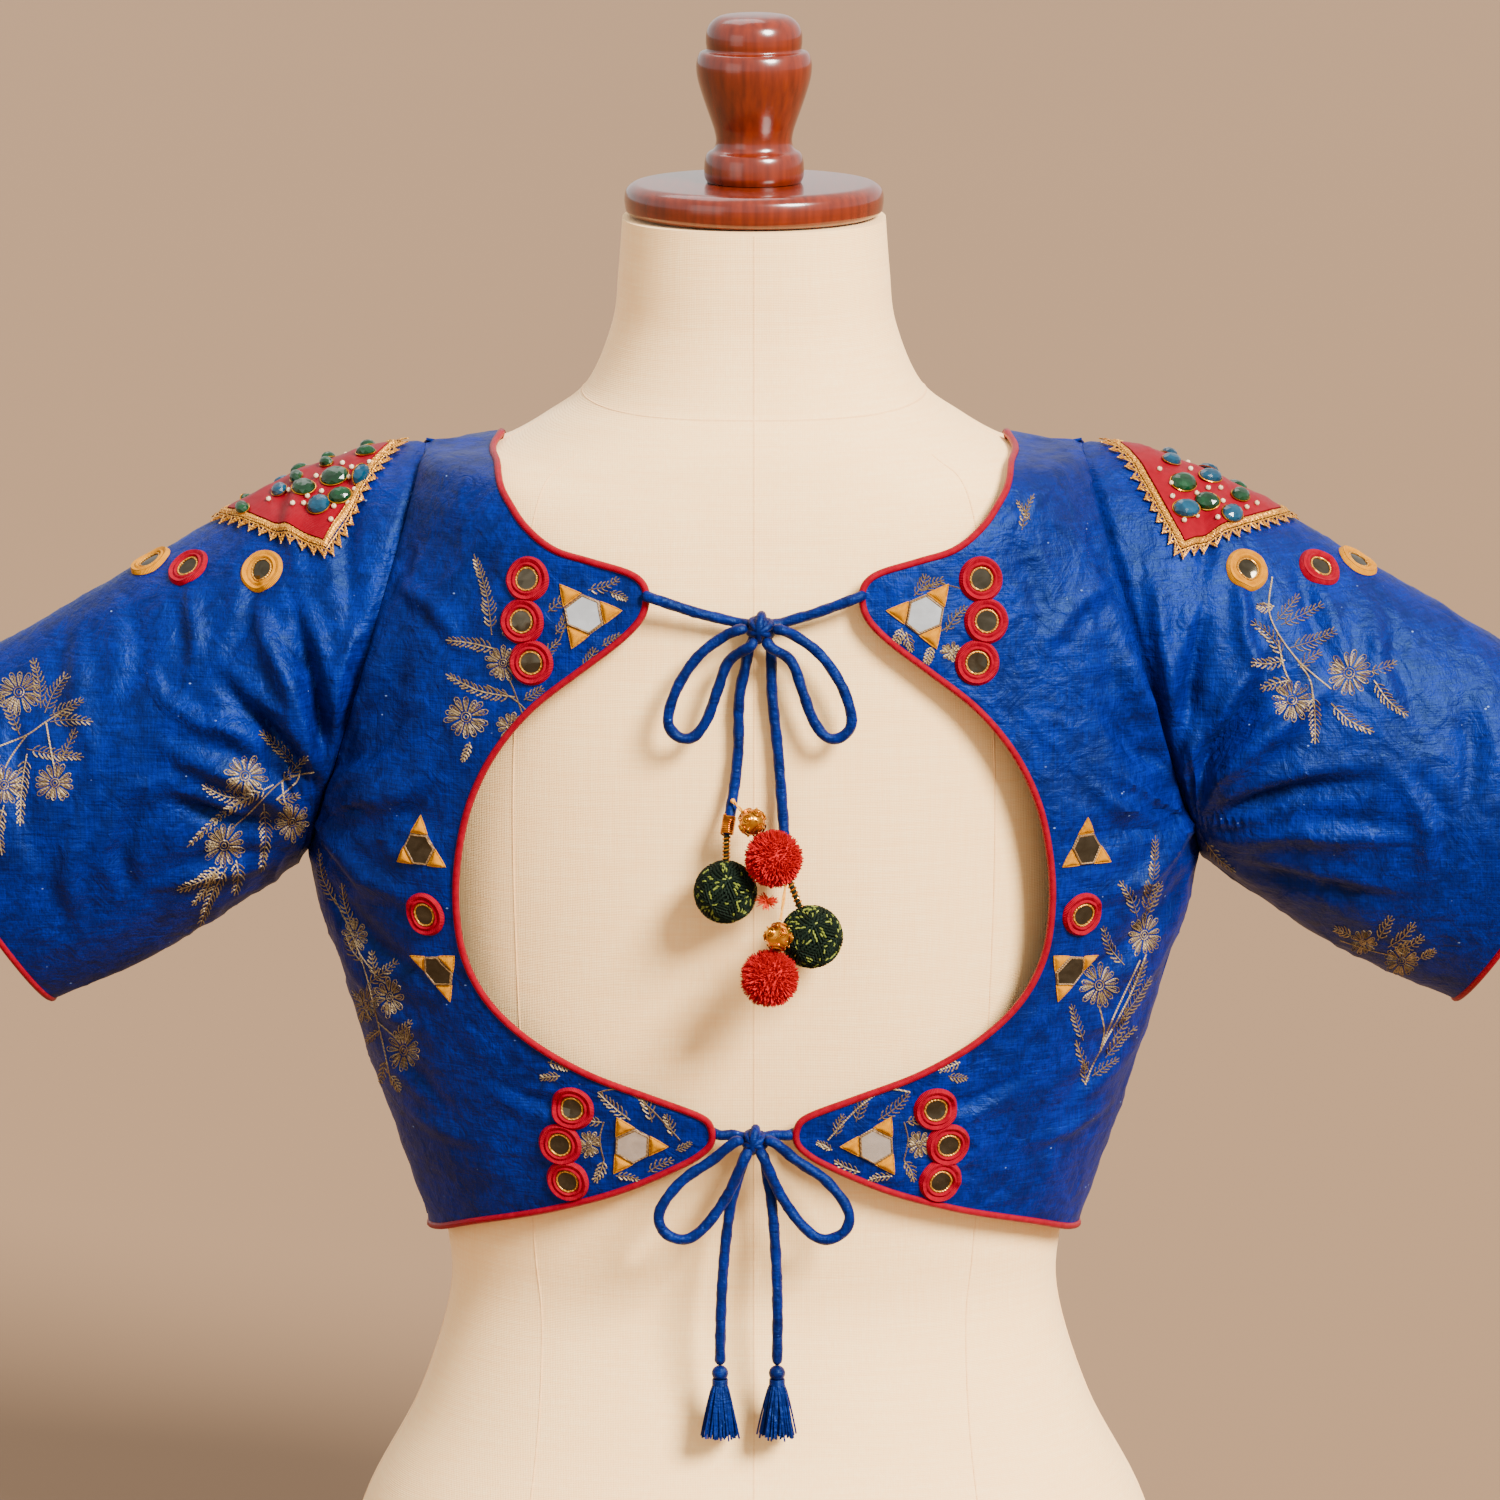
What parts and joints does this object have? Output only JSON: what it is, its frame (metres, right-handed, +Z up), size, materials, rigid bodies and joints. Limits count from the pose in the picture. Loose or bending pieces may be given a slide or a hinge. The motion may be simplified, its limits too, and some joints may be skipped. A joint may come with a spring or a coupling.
{
  "type": "silk blouse on a dress form",
  "caption": "Short-sleeved silk blouse with a rounded open back closed by two corded bows, standing on a limbless dress form with a turned neck block.",
  "frame": {"origin": "middle of the dress form's flat base", "axes": "+Z up the form, -Y towards the open back that the bows close, +X to the wearer's right sleeve as seen from behind"},
  "size_m": [0.7972, 0.2941, 0.7816],
  "materials": {
    "silk": "crisp silk with a soft sheen",
    "cord": "silk-covered cord",
    "green_yarn": "wound yarn with yellow flecks",
    "gold_filigree": "openwork gilt metal",
    "gold_lace": "metallic thread",
    "form_cloth": "plain linen",
    "polished_wood": "glossy varnish",
    "red_yarn": "cut wool",
    "yellow_thread": "satin stitch",
    "red_trim": "smooth satin"
  },
  "bodies": {
    "root": {"back_left": "silk", "back_right": "silk", "ball_left": "green_yarn", "ball_right": "green_yarn", "bead_left": "gold_filigree", "bead_right": "gold_filigree", "form_torso": "form_cloth", "front": "silk", "lace_left": "gold_lace", "lace_right": "gold_lace", "lower_knot": "cord", "lower_loop_left": "cord", "lower_loop_right": "cord", "lower_span_left": "cord", "lower_span_right": "cord", "lower_tail_left": "cord", "lower_tail_right": "cord", "neck_disc": "polished_wood", "neck_finial": "polished_wood", "patch_left": "red_trim", "patch_right": "red_trim", "piping_body": "red_trim", "piping_cuff_left": "red_trim", "piping_cuff_right": "red_trim", "pompom_left": "red_yarn", "pompom_right": "red_yarn", "ring_side_left": "red_trim", "ring_side_right": "red_trim", "ring_sleeve_left_a": "yellow_thread", "ring_sleeve_left_b": "red_trim", "ring_sleeve_left_c": "yellow_thread", "ring_sleeve_right_a": "yellow_thread", "ring_sleeve_right_b": "red_trim", "ring_sleeve_right_c": "yellow_thread", "rings_lower_left": "red_trim", "rings_lower_right": "red_trim", "rings_upper_left": "red_trim", "rings_upper_right": "red_trim", "sleeve_left": "silk", "sleeve_right": "silk", "star_lower_left": "yellow_thread", "star_lower_right": "yellow_thread", "star_side_a_left": "yellow_thread", "star_side_a_right": "yellow_thread", "star_side_b_left": "yellow_thread", "star_side_b_right": "yellow_thread", "star_upper_left": "yellow_thread", "star_upper_right": "yellow_thread", "tassel_left": "cord", "tassel_right": "cord", "upper_knot": "cord", "upper_loop_left": "cord", "upper_loop_right": "cord", "upper_span_left": "cord", "upper_span_right": "cord", "upper_tail_left": "cord", "upper_tail_right": "cord"}
  },
  "joints": []
}
